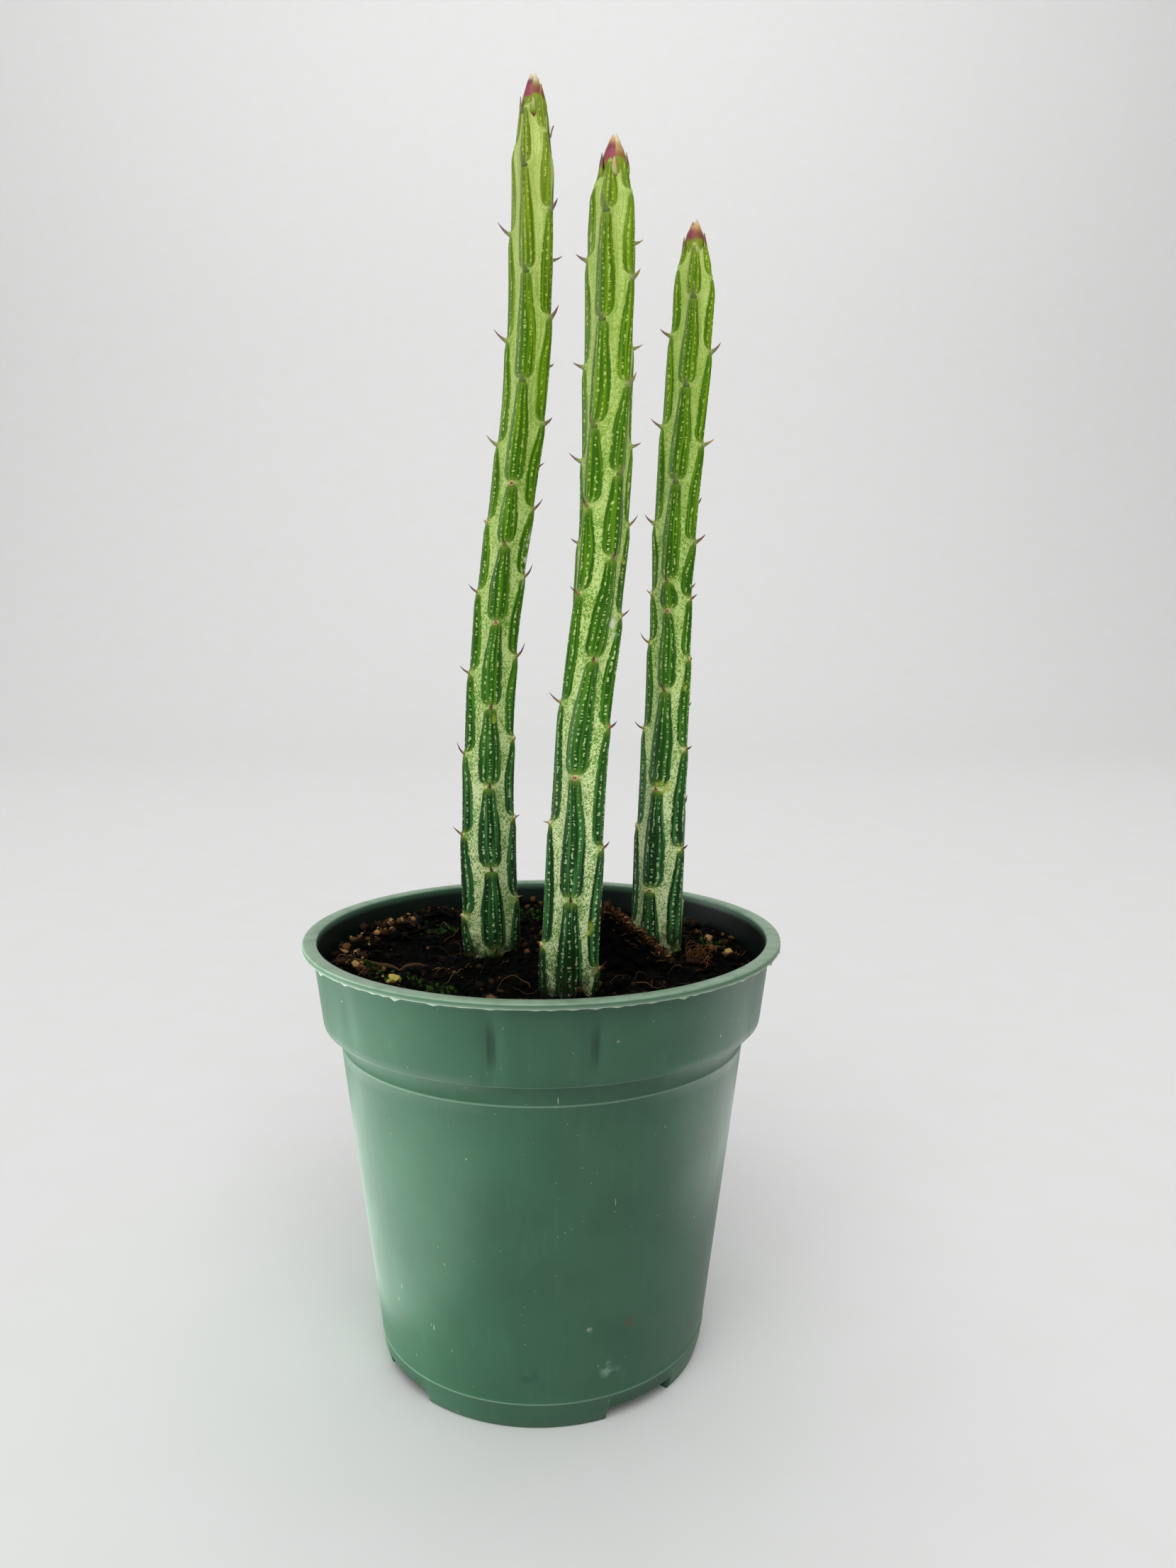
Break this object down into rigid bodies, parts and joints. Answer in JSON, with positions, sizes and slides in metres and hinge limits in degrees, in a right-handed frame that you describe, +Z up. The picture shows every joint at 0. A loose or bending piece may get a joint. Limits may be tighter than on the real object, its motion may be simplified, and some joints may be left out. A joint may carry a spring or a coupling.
{
  "type": "potted pickle plant",
  "caption": "Upright ribbed succulent stems with small awl-shaped leaves, rooted in dark peat in a green plastic nursery pot with a wide collar, flat lip and drainage feet.",
  "frame": {"origin": "on the pot's axis, at the level of the surface that its feet stand on", "axes": "+Z up along the pot's axis and the stems; -Y is the front, where the middle stem stands nearest; +X to the right seen from the front"},
  "size_m": [0.114, 0.114, 0.3004],
  "materials": {
    "pot_plastic": "satin moulded polypropylene, dull green, lightly scuffed",
    "peat": "damp dark peat with brown fibres and moss-green patches",
    "stem_skin": "waxy succulent skin, dark green panels with pale dotted lines, silvery mottling between them",
    "leaf_skin": "fleshy grey-green awl-shaped leaf with a purple-brown dry tip",
    "bark": "rough dark bark with reddish torn edges",
    "coir_fibre": "tangled coarse brown plant fibre",
    "crumb": "dry tan crumb of bark or peat"
  },
  "bodies": {
    "root": {"pot": "pot_plastic", "soil": "peat", "left_stem": "stem_skin", "middle_stem": "stem_skin", "right_stem": "stem_skin", "left_leaf_01": "leaf_skin", "left_leaf_02": "leaf_skin", "left_leaf_03": "leaf_skin", "left_leaf_04": "leaf_skin", "left_leaf_05": "leaf_skin", "left_leaf_06": "leaf_skin", "left_leaf_07": "leaf_skin", "left_leaf_08": "leaf_skin", "left_leaf_09": "leaf_skin", "left_leaf_10": "leaf_skin", "left_leaf_11": "leaf_skin", "left_leaf_12": "leaf_skin", "left_leaf_13": "leaf_skin", "left_leaf_14": "leaf_skin", "left_leaf_15": "leaf_skin", "middle_leaf_01": "leaf_skin", "middle_leaf_02": "leaf_skin", "middle_leaf_03": "leaf_skin", "middle_leaf_04": "leaf_skin", "middle_leaf_05": "leaf_skin", "middle_leaf_06": "leaf_skin", "middle_leaf_07": "leaf_skin", "middle_leaf_08": "leaf_skin", "middle_leaf_09": "leaf_skin", "middle_leaf_10": "leaf_skin", "middle_leaf_11": "leaf_skin", "middle_leaf_12": "leaf_skin", "middle_leaf_13": "leaf_skin", "middle_leaf_14": "leaf_skin", "middle_leaf_15": "leaf_skin", "right_leaf_01": "leaf_skin", "right_leaf_02": "leaf_skin", "right_leaf_03": "leaf_skin", "right_leaf_04": "leaf_skin", "right_leaf_05": "leaf_skin", "right_leaf_06": "leaf_skin", "right_leaf_07": "leaf_skin", "right_leaf_08": "leaf_skin", "right_leaf_09": "leaf_skin", "right_leaf_10": "leaf_skin", "right_leaf_11": "leaf_skin", "right_leaf_12": "leaf_skin", "right_leaf_13": "leaf_skin", "right_leaf_14": "leaf_skin", "right_leaf_15": "leaf_skin", "bark_chip": "bark", "fibre_clump": "coir_fibre", "soil_crumb_1": "crumb", "soil_crumb_2": "crumb", "soil_crumb_3": "crumb", "soil_crumb_4": "crumb", "soil_crumb_5": "crumb"}
  },
  "joints": []
}
